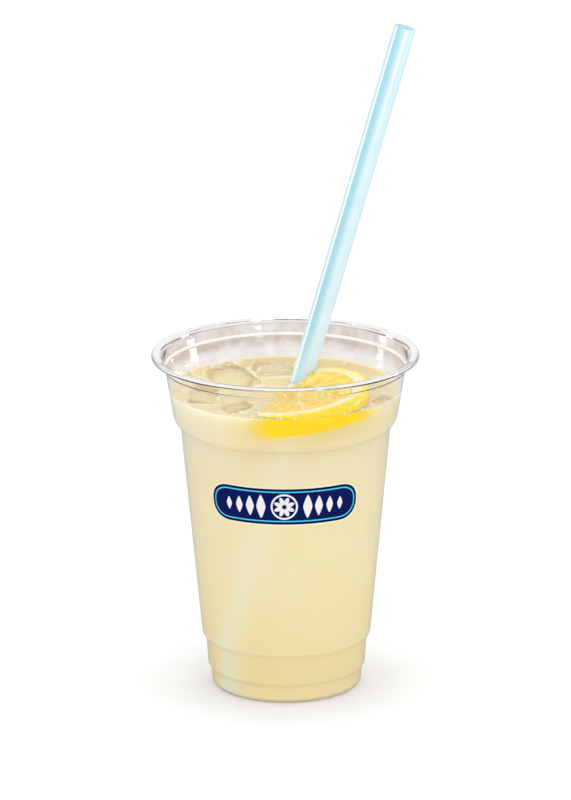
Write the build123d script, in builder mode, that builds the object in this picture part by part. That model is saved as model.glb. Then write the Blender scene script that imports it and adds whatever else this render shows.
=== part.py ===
"""A clear plastic cup of cloudy lemonade with a cut lemon wheel and a straw.

Units are millimetres. +Z is up, the cup stands on Z = 0 and its axis is the Z axis. -Y is the front.
Four pieces, each in its own file: the cup, the drink that fills it, the lemon wheel that floats in the
drink with one side cut away, and the straw, which stands against the lemon's cut side and leans to the
right.
"""

import os
from math import atan, cos, radians, sin, tan

from build123d import *

# ---- the cup: a thermoformed wall of one thickness, with steps that let cups stack ----------------------
RIM_RADIUS = 49.0  # outside of the lip
CUP_HEIGHT = 126.2
WALL = 0.6
LIP_WIDTH = 2.8
LIP_THICKNESS = 1.5
LIP_ROUND = 0.65

# Corners of the wall's outside are (radius, height) before they are rounded.
FLOOR_EDGE = (20.8, 1.8)  # the middle of the floor is raised
FOOT_INNER_EDGE = (22.6, 0)
HEEL = (27.4, 0)
# Each pair is a step: its inside corner, and the corner where the wall has swung out at 45 degrees.
LOWER_STEP = ((27.75, 6.6), (28.88, 7.75))
UPPER_STEP = ((29.65, 18.2), (31.0, 19.55))
SHOULDER = ((38.5, 99.0), (40.85, 101.35))
STACKING_LEDGE = ((43.9, 119.9), (44.75, 120.9))
NECK_TOP = (45.3, 123.9)

TIGHT_BEND = 0.9
FLOOR_BEND = 1.0
HEEL_BEND = 2.6
LOWER_BEND = 2.8
UPPER_BEND = 3.8
SHOULDER_BEND = 7.5
NECK_BEND = 1.5

# ---- the drink ----------------------------------------------------------------------------------------
DRINK_LEVEL = 112.7

# ---- the lemon wheel, cut a little beyond its middle ----------------------------------------------------
LEMON_RADIUS = 26.3  # at the upper face
LEMON_BULGE_RADIUS = 26.7  # halfway down the peel
LEMON_LOWER_RADIUS = 25.2
LEMON_THICKNESS = 8.0
LEMON_CENTRE = (3.9, -14.6, 115.7)  # middle of the upper face
LEMON_RISE_RIGHT = 7.0  # degrees, right side up
LEMON_RISE_BACK = 2.5  # degrees, back up
CUT_FACING = -28.7  # degrees round from +X: the way that the kept part's round side points
CUT_BEYOND_CENTRE = 4.25
PEEL_ROUND = 0.7
SEGMENTS = 10
SEGMENT_OUTER = 21.6
SEGMENT_INNER = 3.2
SEGMENT_ROUND = 0.35
SEGMENT_DEPTH = 0.4
MEMBRANE = 1.0

# ---- the straw ----------------------------------------------------------------------------------------
STRAW_RADIUS = 4.0
STRAW_WALL = 0.4
STRAW_LENGTH = 243.4
STRAW_LEAN = atan(0.2858)  # to the right, from upright
STRAW_AT_LEVEL = (5.72, 8.75)  # where its axis meets the drink's surface
STRAW_END_HEIGHT = 12.0  # of the middle of its lower end


def wall_line():
    """The outside of the cup's wall, from the middle of the floor to inside the lip."""
    lip_core = (RIM_RADIUS - LIP_WIDTH + LIP_THICKNESS / 2, CUP_HEIGHT - LIP_THICKNESS / 2)
    corners_and_bends = (
        (FLOOR_EDGE, FLOOR_BEND),
        (FOOT_INNER_EDGE, FLOOR_BEND),
        (HEEL, HEEL_BEND),
        (LOWER_STEP[0], TIGHT_BEND),
        (LOWER_STEP[1], LOWER_BEND),
        (UPPER_STEP[0], TIGHT_BEND),
        (UPPER_STEP[1], UPPER_BEND),
        (SHOULDER[0], TIGHT_BEND),
        (SHOULDER[1], SHOULDER_BEND),
        (STACKING_LEDGE[0], TIGHT_BEND),
        (STACKING_LEDGE[1], TIGHT_BEND),
        (NECK_TOP, NECK_BEND),
    )
    corners = [corner for corner, bend in corners_and_bends]
    bends = [bend for corner, bend in corners_and_bends]
    floor_middle = (0, FLOOR_EDGE[1])
    return FilletPolyline(floor_middle, *corners, lip_core, radius=bends)


def cup_section():
    """Half of the cup's section: the wall, one thickness all along, and the lip on top of it."""
    with BuildSketch(Plane.XZ) as section:
        with BuildLine():
            wall_line()
            offset(amount=WALL, side=Side.LEFT, closed=True)
        make_face()
        with Locations((RIM_RADIUS - LIP_WIDTH / 2, CUP_HEIGHT - LIP_THICKNESS / 2)):
            RectangleRounded(LIP_WIDTH, LIP_THICKNESS, LIP_ROUND)
    return section.sketch


def drink_section():
    """Half of the drink's section: all that lies within the wall, up to the drink's level."""
    with BuildSketch(Plane.XZ) as section:
        with BuildLine():
            outside = wall_line()
            Polyline(outside @ 1, (0, CUP_HEIGHT), outside @ 0)
        make_face()
        add(cup_section(), mode=Mode.SUBTRACT)
        Rectangle(RIM_RADIUS, DRINK_LEVEL, align=Align.MIN, mode=Mode.INTERSECT)
    return section.sketch


def straw_rod(radius):
    """A round rod as long as the straw, in its place."""
    x_at_level, y = STRAW_AT_LEVEL
    x_at_end = x_at_level - (DRINK_LEVEL - STRAW_END_HEIGHT) * tan(STRAW_LEAN)
    lower_end = Plane(
        origin=(x_at_end, y, STRAW_END_HEIGHT),
        x_dir=(cos(STRAW_LEAN), 0, -sin(STRAW_LEAN)),
        z_dir=(sin(STRAW_LEAN), 0, cos(STRAW_LEAN)),
    )
    with BuildPart(lower_end) as rod:
        Cylinder(radius, STRAW_LENGTH, align=(Align.CENTER, Align.CENTER, Align.MIN))
    return rod.part


def segment_outlines():
    """The lemon's segments, with a membrane between each two and a core in the middle."""
    half_angle = radians(180 / SEGMENTS)
    # A wedge's tip stands off the middle far enough to leave half a membrane on either side.
    tip = MEMBRANE / 2 / sin(half_angle)
    half_width = SEGMENT_OUTER * tan(half_angle)
    with BuildSketch() as outlines:
        with PolarLocations(0, SEGMENTS, start_angle=CUT_FACING):
            with Locations((tip, 0)):
                Polygon((0, 0), (SEGMENT_OUTER, -half_width), (SEGMENT_OUTER, half_width), align=None)
        Circle(SEGMENT_OUTER, mode=Mode.INTERSECT)
        Circle(SEGMENT_INNER, mode=Mode.SUBTRACT)
        fillet(outlines.vertices(), SEGMENT_ROUND)
    return outlines.sketch


def lemon_wheel():
    """The whole lemon wheel about its own axis, its upper face at Z = 0, its segments sunk a little."""
    with BuildPart() as wheel:
        with BuildSketch(Plane.XZ):
            with BuildLine():
                upper_edge = (LEMON_RADIUS, 0)
                bulge = (LEMON_BULGE_RADIUS, -LEMON_THICKNESS / 2)
                lower_edge = (LEMON_LOWER_RADIUS, -LEMON_THICKNESS)
                ThreePointArc(upper_edge, bulge, lower_edge)
                Polyline(lower_edge, (0, -LEMON_THICKNESS), (0, 0), upper_edge)
            make_face()
        revolve(axis=Axis.Z)
        fillet(wheel.edges().filter_by(GeomType.CIRCLE), PEEL_ROUND)
        for face_height, inwards in ((0, -SEGMENT_DEPTH), (-LEMON_THICKNESS, SEGMENT_DEPTH)):
            with BuildSketch(Plane.XY.offset(face_height)):
                add(segment_outlines())
            extrude(amount=inwards, mode=Mode.SUBTRACT)
    return wheel.part


with BuildPart() as cup:
    add(cup_section())
    revolve(axis=Axis.Z)

with BuildPart() as straw:
    add(straw_rod(STRAW_RADIUS))
    add(straw_rod(STRAW_RADIUS - STRAW_WALL), mode=Mode.SUBTRACT)

with BuildPart() as lemon_slice:
    with Locations(Location(LEMON_CENTRE, (LEMON_RISE_BACK, -LEMON_RISE_RIGHT, 0))):
        add(lemon_wheel())
        with Locations(Rotation(0, 0, CUT_FACING)):
            with Locations((-CUT_BEYOND_CENTRE, 0, 0)):
                side = 3 * LEMON_RADIUS  # more than the wheel, so that the box takes all beyond the cut
                Box(side, side, side, align=(Align.MAX, Align.CENTER, Align.CENTER), mode=Mode.SUBTRACT)

with BuildPart() as drink:
    add(drink_section())
    revolve(axis=Axis.Z)
    add(lemon_slice.part, mode=Mode.SUBTRACT)
    add(straw.part, mode=Mode.SUBTRACT)

os.makedirs("parts", exist_ok=True)
cup.part.label = "cup"
drink.part.label = "drink"
lemon_slice.part.label = "lemon_slice"
straw.part.label = "straw"
export_step(cup.part, "parts/cup.step")
export_step(drink.part, "parts/drink.step")
export_step(lemon_slice.part, "parts/lemon_slice.step")
export_step(straw.part, "parts/straw.step")
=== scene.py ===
"""The looks of a clear plastic cup of cloudy lemonade, with ice, a cut lemon wheel and a straw.

Lengths in the panel are in metres. The layout values below are in millimetres unless they say otherwise, and
are turned into metres where a mesh is made. +Z is up and -Y is the front.
"""

import math
import random

import bmesh
import bpy
from bpy.props import FloatProperty, FloatVectorProperty, IntProperty, PointerProperty
from mathutils import Euler, Matrix, Vector, noise
from mathutils.bvhtree import BVHTree


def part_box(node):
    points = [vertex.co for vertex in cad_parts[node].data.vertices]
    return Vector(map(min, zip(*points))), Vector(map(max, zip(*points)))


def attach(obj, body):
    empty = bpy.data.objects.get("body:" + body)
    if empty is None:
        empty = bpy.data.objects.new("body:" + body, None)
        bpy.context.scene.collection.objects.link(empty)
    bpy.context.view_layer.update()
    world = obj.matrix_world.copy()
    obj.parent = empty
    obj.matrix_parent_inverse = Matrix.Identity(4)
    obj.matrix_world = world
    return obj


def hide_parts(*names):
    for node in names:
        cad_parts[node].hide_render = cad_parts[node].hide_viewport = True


bl_info = {
    "name": "Iced lemonade in a clear cup",
    "version": (1, 0, 0),
    "blender": (4, 5, 0),
    "location": "View3D > Sidebar > Lemonade",
    "description": "Builds a clear cup of cloudy lemonade with ice, a lemon wheel and a straw",
    "category": "Add Mesh",
}

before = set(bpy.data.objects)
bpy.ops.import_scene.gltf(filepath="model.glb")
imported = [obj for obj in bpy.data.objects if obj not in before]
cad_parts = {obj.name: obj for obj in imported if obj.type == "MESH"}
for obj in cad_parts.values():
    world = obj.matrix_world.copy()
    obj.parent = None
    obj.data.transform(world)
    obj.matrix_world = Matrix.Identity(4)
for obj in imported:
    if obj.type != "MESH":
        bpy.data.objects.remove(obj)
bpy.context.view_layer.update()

MM = 0.001
FULL_TURN = 2 * math.pi
# Points this near each other are joined: along a turned piece's seam, and within the print.
SEAM_GAP = 0.002 * MM
PRINT_GAP = 0.0005 * MM

RIM_RADIUS = 49.0
CUP_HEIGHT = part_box("cup")[1][2] / MM
DRINK_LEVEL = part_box("drink")[1][2] / MM
WALL = 0.6
LIP_THICKNESS = 1.5
LIP_ROUND = 0.65

# The outside of the wall, from the middle of the floor up: each corner's radius and height, and its bend.
WALL_LINE = (
    ((0.0, 1.8), 0.0),
    ((20.8, 1.8), 1.0),
    ((22.6, 0.0), 1.0),
    ((27.4, 0.0), 2.6),
    ((27.75, 6.6), 0.9),
    ((28.88, 7.75), 2.8),
    ((29.65, 18.2), 0.9),
    ((31.0, 19.55), 3.8),
    ((38.5, 99.0), 0.9),
    ((40.85, 101.35), 7.5),
    ((43.95, 120.3), 0.9),
    ((44.85, 121.5), 0.9),
    ((45.3, 124.3), 0.7),
)
# The long straight run of that line, from its lower to its upper corner, which carries the print.
PRINTED_RUN = WALL_LINE[7][0], WALL_LINE[8][0]

# The lemon wheel: its place, its tilt and the cut that leaves a little more than half of it.
LEMON_CENTRE = Vector((3.9, -14.6, 115.7))
LEMON_TURN = Euler((math.radians(2.5), math.radians(-7.0), 0.0))
LEMON_RADIUS = 26.3
LEMON_THICKNESS = 8.0
CUT_FACING = math.radians(-28.7)
CUT_BEYOND_CENTRE = 4.25
# How many segments there are. Their count starts half way through one, and is kept above zero.
SEGMENTS = 10
SEGMENT_START = 20.5
# They differ in width: by how much, how often round the wheel, and where that starts.
SEGMENT_SWING = 0.07
SWINGS = 3.0
SWING_START = 1.0
# How deep the segments are sunk, how far their juice cells bulge, and how uneven the wheel is.
FLESH_SUNK = 0.4
CELL_BULGE = 0.22
WHEEL_RELIEF = 0.18

# The straw's line: where its axis meets the drink's level, and how much it leans to the right.
STRAW_AT_LEVEL = Vector((5.72, 8.75, 112.7))
STRAW_LEAN = math.atan(0.2858)
STRAW_END_HEIGHT = 12.0
STRAW_LENGTH = 243.4
STRAW_DIRECTION = Vector((math.sin(STRAW_LEAN), 0.0, math.cos(STRAW_LEAN)))
# The middles of the straw's painted shade and of the painted highlight beside it, as turns about its axis.
STRAW_SHADED_SIDE = math.radians(-128)
STRAW_HIGHLIGHT_LINE = math.radians(-142)

# Ice cubes: middle of the top, size, turn about Z, tilt about X and about Y, in millimetres and degrees.
ICE_CUBES = (
    ((-20.0, 9.5, 116.2), (15.5, 24.0, 18.0), 27, 3, -3),
    ((-4.5, 23.0, 115.4), (15.0, 17.0, 15.0), 12, -4, 3),
    ((-36.3, 12.5, 114.6), (4.6, 9.0, 8.0), 18, 0, 4),
    ((-29.5, -14.0, 115.3), (11.0, 15.0, 14.0), -10, 4, 6),
    ((-17.5, -26.5, 114.5), (13.0, 9.0, 11.0), 35, -3, -3),
    ((34.9, -17.5, 113.8), (4.8, 10.0, 9.0), -28, 5, 4),
    ((-23.0, 31.5, 114.0), (13.0, 6.5, 10.0), 31, -4, 2),
)
# How lopsided a cube is, as the least and most of its size, and in millimetres how much its skin is worn.
ICE_LOPSIDED = (0.9, 1.04)
ICE_WEAR = 0.9
# The share of a cube's depth that the drink is hollowed for, and how far inside the ice the hollow's skin
# lies, so that the ice reaches into the drink.
HOLLOW_SHARE = 0.26
HOLLOW_INSET = 0.08 * MM

# How high the surface creeps up the wall and up each piece that stands in it, how soon that dies away, the
# most it can come to, and the height of the surface's ripples.
CREEP_AT_WALL = 0.55
CREEP = (("ice_cubes", 0.55), ("straw_tube", 0.7), ("lemon_wheel", 0.4))
CREEP_WIDTH_AT_WALL = 0.9
CREEP_WIDTH = 0.8
HIGHEST_CREEP = 1.1
RIPPLE = 0.12
# How soon the bubbles thin out away from the ice and the lemon.
BUBBLES_WIDTH = 0.8

# The drink's skin counts as its surface within this depth of its level, and as a hollow above this depth.
SURFACE_DEPTH = 0.6
HOLLOW_DEPTH = 9.0
# Below its surface it counts as wall outside this radius, and the lemon can show in it above this height.
FLOOR_RADIUS = 26.0
LEMON_SHOWS_FROM = 96.0
# A normal that rises this much faces up.
FACING_UP = 0.3
# The painted shade beside the ice: how dark, and how soon it fades. How much the lemon glows through the
# skin.
ICE_SHADE = 0.14
ICE_FADE = 2.0
LEMON_GLOW = 1.1
# The sunk straw's streak on the wall: how far off its axis it is seen, its width, and how soon it fades with
# depth.
STREAK_OFF_AXIS = 1.3
STREAK_WIDTH = 4.6
STREAK_FADE = 24.0

# Lamps, in metres and watts: direction from the cup, distance, width and height, power, and whether it
# lights surfaces or only gleams on them.
LAMPS = {
    "lamp_key": ((0.3, -0.92, 0.27), 1.3, (0.35, 0.8), 1.2, True),
    "lamp_overhead": ((0.0, 0.0, 1.0), 2.5, (0.9, 0.9), 13.5, True),
    "gleam_left_back": ((-0.946, 0.312, 0.12), 0.7, (0.12, 0.3), 0.6, False),
    "gleam_right": ((0.94, 0.22, 0.04), 0.7, (0.12, 0.2), 1.0, False),
    "gleam_front": ((0.47, -0.88, 0.2), 1.0, (0.16, 0.6), 4.0, False),
    "gleam_high": ((-0.35, 0.35, 0.87), 0.8, (0.04, 0.04), 3.0, False),
}
LAMPS_AIM = Vector((0.0, 0.0, 0.1))
# Half of the floor's width, in metres.
FLOOR_HALF = 4.0


# ---- small tools -----------------------------------------------------------------------------------------


def linear(red, green, blue):
    """A screen colour, 0 to 255 a channel, as the linear colour that shaders take."""
    channels = [value / 255 for value in (red, green, blue)]
    return tuple(c / 12.92 if c <= 0.04045 else ((c + 0.055) / 1.055) ** 2.4 for c in channels) + (1.0,)


def feed(tree, node, values):
    """Sets a node's sockets to plain values, or links them to other nodes' outputs."""
    for socket, value in values.items():
        target = node.inputs[socket]
        if isinstance(value, bpy.types.NodeSocket):
            tree.links.new(value, target)
        else:
            target.default_value = value


def put(tree, kind, feeds=None, **settings):
    """Adds one node. Each feed is a plain value or another node's output."""
    node = tree.nodes.new(kind)
    for name, value in settings.items():
        setattr(node, name, value)
    feed(tree, node, feeds or {})
    return node


def maths(tree, operation, *values):
    """The result of one Math node on plain values or other nodes' outputs."""
    return put(tree, "ShaderNodeMath", dict(enumerate(values)), operation=operation).outputs[0]


def product(tree, result, *factors):
    """The product of several values, multiplied from left to right."""
    for factor in factors:
        result = maths(tree, "MULTIPLY", result, factor)
    return result


def mixed(tree, factor, first, second):
    """The colour between two colours."""
    node = put(tree, "ShaderNodeMix", {0: factor, 6: first, 7: second}, data_type="RGBA")
    return node.outputs[2]


def split(tree, vector):
    """The X, Y and Z of a vector."""
    return put(tree, "ShaderNodeSeparateXYZ", {0: vector}).outputs


def plain_mesh(source, name):
    """Turns what an object's modifiers make of it into a plain mesh object, and removes the source."""
    depsgraph = bpy.context.evaluated_depsgraph_get()
    mesh = bpy.data.meshes.new_from_object(source.evaluated_get(depsgraph), depsgraph=depsgraph)
    bpy.data.objects.remove(source)
    mesh.name = name
    return shown(mesh, name)


def shown(mesh, name):
    """A new object in the scene that shows a mesh."""
    piece = bpy.data.objects.new(name, mesh)
    bpy.context.scene.collection.objects.link(piece)
    return piece


def pushed(mesh, distance_at):
    """Moves every point of a mesh along its normal by a distance found from its place."""
    normals = [vertex.normal.copy() for vertex in mesh.vertices]
    for vertex, normal in zip(mesh.vertices, normals):
        vertex.co += normal * distance_at(vertex.co)


def face_outwards(mesh):
    """Points every face of a closed mesh outwards."""
    shape = bmesh.new()
    shape.from_mesh(mesh)
    bmesh.ops.recalc_face_normals(shape, faces=shape.faces)
    shape.to_mesh(mesh)
    shape.free()


def painted(piece, material):
    """Gives a piece one material all over and smooth shading."""
    piece.data.materials.clear()
    piece.data.materials.append(material)
    piece.data.shade_smooth()
    return piece


def fitted(piece, slot, *nodes):
    """Makes a piece ride on the one body and stand for CAD nodes, which it hides. The slot is not used."""
    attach(piece, "root")
    if nodes:
        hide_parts(*nodes)
    return piece


def straw_axis(height):
    """The place on the straw's axis at a height, in millimetres."""
    return STRAW_AT_LEVEL + STRAW_DIRECTION * ((height - STRAW_AT_LEVEL.z) / STRAW_DIRECTION.z)


def eased(value, low, high):
    """Goes smoothly from 0 at the low value to 1 at the high one."""
    share = min(max((value - low) / (high - low), 0.0), 1.0)
    return share * share * (3 - 2 * share)


def shifted(line, distance):
    """A line of corners and bends moved to its left, with every bend still round the same centre."""
    corners = [Vector(corner) for corner, bend in line]
    bends = [bend for corner, bend in line]
    runs = [(b - a).normalized() for a, b in zip(corners, corners[1:])]
    sides = [Vector((-run.y, run.x)) for run in runs]
    moved = [(tuple(corners[0] + sides[0] * distance), 0.0)]
    for corner, bend, before, after, side, next_side in zip(
        corners[1:-1], bends[1:-1], runs, runs[1:], sides, sides[1:]
    ):
        mitre = (side + next_side) / (1 + side.dot(next_side))
        turns_left = before.x * after.y - before.y * after.x > 0
        new_bend = bend - distance if turns_left else bend + distance
        moved.append((tuple(corner + mitre * distance), max(new_bend, 0.02)))
    moved.append((tuple(corners[-1] + sides[-1] * distance), 0.0))
    return moved


# ---- Geometry Nodes: turning a section, wrapping a printed shape, scattering bubbles ---------------------


def new_tree(name, inputs):
    """A Geometry Nodes tree with a geometry input, the named inputs, and a geometry output."""
    tree = bpy.data.node_groups.new(name, "GeometryNodeTree")
    tree.interface.new_socket("Geometry", in_out="INPUT", socket_type="NodeSocketGeometry")
    for label, kind, default in inputs:
        socket = tree.interface.new_socket(label, in_out="INPUT", socket_type=kind)
        if default is not None:
            socket.default_value = default
    tree.interface.new_socket("Geometry", in_out="OUTPUT", socket_type="NodeSocketGeometry")
    return tree


def placed_grid(tree, grid, x, y, z):
    """Moves a grid's points to the places that three values give, and returns the geometry."""
    position = put(tree, "ShaderNodeCombineXYZ", {"X": x, "Y": y, "Z": z}).outputs[0]
    feeds = {"Geometry": grid.outputs["Mesh"], "Position": position}
    return put(tree, "GeometryNodeSetPosition", feeds).outputs[0]


def closing_nodes(tree, geometry, material):
    """Ends a tree: smooth shading, realized instances and a material."""
    smooth = put(tree, "GeometryNodeSetShadeSmooth", {"Geometry": geometry})
    real = put(tree, "GeometryNodeRealizeInstances", {"Geometry": smooth.outputs[0]})
    coated = put(tree, "GeometryNodeSetMaterial", {"Geometry": real.outputs[0], "Material": material})
    put(tree, "NodeGroupOutput", {"Geometry": coated.outputs[0]})


def apply_tree(piece, tree, values):
    """Adds a tree to a piece as a modifier and sets the inputs that the values name."""
    modifier = piece.modifiers.new(tree.name, "NODES")
    modifier.node_group = tree
    for item in tree.interface.items_tree:
        if item.in_out == "INPUT" and item.name in values:
            modifier[item.identifier] = values[item.name]


def turning_tree():
    """Rounds a section's corners by their bend attribute and turns the section about the Z axis."""
    tree = new_tree(
        "turned section",
        (
            ("Bend Steps", "NodeSocketInt", 6),
            ("Turn Steps", "NodeSocketInt", 180),
            ("Material", "NodeSocketMaterial", None),
        ),
    )
    given = put(tree, "NodeGroupInput").outputs
    line = put(tree, "GeometryNodeMeshToCurve", {"Mesh": given["Geometry"]})
    bend = put(tree, "GeometryNodeInputNamedAttribute", {"Name": "bend"}, data_type="FLOAT")
    rounded = put(
        tree,
        "GeometryNodeFilletCurve",
        {
            "Curve": line.outputs[0],
            "Radius": bend.outputs[0],
            "Count": given["Bend Steps"],
            "Limit Radius": True,
        },
        mode="POLY",
    )
    size = put(tree, "GeometryNodeAttributeDomainSize", {"Geometry": rounded.outputs[0]}, component="CURVE")
    around = maths(tree, "ADD", given["Turn Steps"], 1.0)
    grid = put(
        tree, "GeometryNodeMeshGrid", {"Vertices X": size.outputs["Point Count"], "Vertices Y": around}
    )
    index = put(tree, "GeometryNodeInputIndex").outputs[0]
    along = maths(tree, "FLOOR", maths(tree, "DIVIDE", index, around))
    place = maths(tree, "MODULO", index, around)
    angle = product(tree, maths(tree, "DIVIDE", place, given["Turn Steps"]), FULL_TURN)
    point = put(
        tree,
        "GeometryNodeSampleIndex",
        {
            "Geometry": rounded.outputs[0],
            "Value": put(tree, "GeometryNodeInputPosition").outputs[0],
            "Index": along,
        },
        data_type="FLOAT_VECTOR",
    )
    section = split(tree, point.outputs[0])
    skin = placed_grid(
        tree,
        grid,
        product(tree, section["X"], maths(tree, "COSINE", angle)),
        product(tree, section["X"], maths(tree, "SINE", angle)),
        section["Z"],
    )
    closed = put(tree, "GeometryNodeMergeByDistance", {"Geometry": skin, "Distance": SEAM_GAP})
    closing_nodes(tree, closed.outputs[0], given["Material"])
    return tree


def turned(line, name, material, turn_steps, bend_steps=6):
    """A plain mesh object: a line of corners and bends, in millimetres, turned about the Z axis."""
    mesh = bpy.data.meshes.new(name + "_section")
    mesh.from_pydata(
        [(radius * MM, 0.0, height * MM) for (radius, height), bend in line],
        [(i, i + 1) for i in range(len(line) - 1)],
        [],
    )
    store(mesh, "bend", [bend * MM for corner, bend in line])
    section = shown(mesh, name + "_section")
    tree = bpy.data.node_groups.get("turned section") or turning_tree()
    apply_tree(section, tree, {"Bend Steps": bend_steps, "Turn Steps": turn_steps, "Material": material})
    piece = plain_mesh(section, name)
    face_outwards(piece.data)
    return piece


def print_tree():
    """Wraps a flat rounded shape round the cup's tapered wall, as thin ink."""
    tree = new_tree(
        "wrapped print",
        (
            ("Half Width", "NodeSocketFloat", 0.01),
            ("Half Height", "NodeSocketFloat", 0.005),
            ("End Length", "NodeSocketFloat", 0.01),
            ("Roundness", "NodeSocketFloat", 2.0),
            ("Turn", "NodeSocketFloat", 0.0),
            ("Across", "NodeSocketFloat", 0.0),
            ("Up", "NodeSocketFloat", 0.0),
            ("Height", "NodeSocketFloat", 0.08),
            ("Wall Radius", "NodeSocketFloat", 0.036),
            ("Wall Slope", "NodeSocketFloat", 0.1),
            ("Columns", "NodeSocketInt", 60),
            ("Rows", "NodeSocketInt", 9),
            ("Material", "NodeSocketMaterial", None),
        ),
    )
    given = put(tree, "NodeGroupInput").outputs
    grid = put(
        tree,
        "GeometryNodeMeshGrid",
        {"Size X": 2.0, "Size Y": 2.0, "Vertices X": given["Columns"], "Vertices Y": given["Rows"]},
    )
    flat = split(tree, put(tree, "GeometryNodeInputPosition").outputs[0])
    # Columns crowd towards the ends, where the outline turns fastest.
    spread = maths(tree, "SINE", product(tree, flat["X"], math.pi / 2 * 0.9999))
    # The outline is level along the middle and closes over the end length.
    power = given["Roundness"]
    ends = maths(tree, "DIVIDE", given["End Length"], given["Half Width"])
    past = maths(tree, "ADD", maths(tree, "SUBTRACT", maths(tree, "ABSOLUTE", spread), 1.0), ends)
    past = maths(tree, "DIVIDE", maths(tree, "MAXIMUM", past, 0.0), ends)
    inside = maths(tree, "SUBTRACT", 1.0, maths(tree, "POWER", past, power))
    half = maths(tree, "POWER", maths(tree, "MAXIMUM", inside, 0.0), maths(tree, "DIVIDE", 1.0, power))
    along = product(tree, spread, given["Half Width"])
    upward = product(tree, half, flat["Y"], given["Half Height"])
    cosine = maths(tree, "COSINE", given["Turn"])
    sine = maths(tree, "SINE", given["Turn"])
    across = maths(tree, "SUBTRACT", product(tree, along, cosine), product(tree, upward, sine))
    across = maths(tree, "ADD", across, given["Across"])
    up = maths(tree, "ADD", product(tree, along, sine), product(tree, upward, cosine))
    up = maths(tree, "ADD", up, given["Up"])
    angle = maths(tree, "DIVIDE", across, given["Wall Radius"])
    radius = maths(tree, "ADD", given["Wall Radius"], product(tree, up, given["Wall Slope"]))
    wrapped = placed_grid(
        tree,
        grid,
        product(tree, radius, maths(tree, "SINE", angle)),
        product(tree, radius, maths(tree, "COSINE", angle), -1.0),
        maths(tree, "ADD", up, given["Height"]),
    )
    closing_nodes(tree, wrapped, given["Material"])
    return tree


def scatter_tree():
    """Scatters small spheres over the faces of a mesh, from a fixed seed."""
    tree = new_tree(
        "scattered bubbles",
        (
            ("Density", "NodeSocketFloat", 1.0),
            ("Smallest", "NodeSocketFloat", 0.0002),
            ("Largest", "NodeSocketFloat", 0.0006),
            ("Seed", "NodeSocketInt", 1),
            ("Material", "NodeSocketMaterial", None),
        ),
    )
    given = put(tree, "NodeGroupInput").outputs
    amount = put(tree, "GeometryNodeInputNamedAttribute", {"Name": "bubbly"}, data_type="FLOAT")
    points = put(
        tree,
        "GeometryNodeDistributePointsOnFaces",
        {
            "Mesh": given["Geometry"],
            "Density": product(tree, given["Density"], amount.outputs[0]),
            "Seed": given["Seed"],
        },
    )
    radius = put(
        tree,
        "FunctionNodeRandomValue",
        {2: given["Smallest"], 3: given["Largest"], "Seed": given["Seed"]},
        data_type="FLOAT",
    )
    ball = put(tree, "GeometryNodeMeshIcoSphere", {"Radius": 1.0, "Subdivisions": 2})
    placed = put(
        tree,
        "GeometryNodeInstanceOnPoints",
        {"Points": points.outputs["Points"], "Instance": ball.outputs["Mesh"], "Scale": radius.outputs[1]},
    )
    closing_nodes(tree, placed.outputs[0], given["Material"])
    return tree


# ---- materials -------------------------------------------------------------------------------------------

# Light that has bounced more often than this counts as caught inside a clear material.
CAUGHT_BOUNCES = 5.5
WHITE = (1.0, 1.0, 1.0, 1.0)


def new_material(name):
    """A material with a Principled BSDF, and its tree and shader."""
    material = bpy.data.materials.new(name)
    material.use_nodes = True
    tree = material.node_tree
    return material, tree, tree.nodes["Principled BSDF"]


def object_place(tree):
    """The Object coordinates."""
    return put(tree, "ShaderNodeTexCoord").outputs["Object"]


def ramp(tree, value, low, high, out_low, out_high):
    """A value that goes smoothly from one number to another while the given value crosses a range."""
    feeds = {"Value": value, "From Min": low, "From Max": high, "To Min": out_low, "To Max": out_high}
    return put(tree, "ShaderNodeMapRange", feeds, interpolation_type="SMOOTHSTEP", clamp=True).outputs[0]


def bumped(tree, height, distance, strength):
    """A normal from a height that varies by a distance in metres."""
    feeds = {"Height": height, "Distance": distance, "Strength": strength}
    return put(tree, "ShaderNodeBump", feeds).outputs[0]


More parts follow.
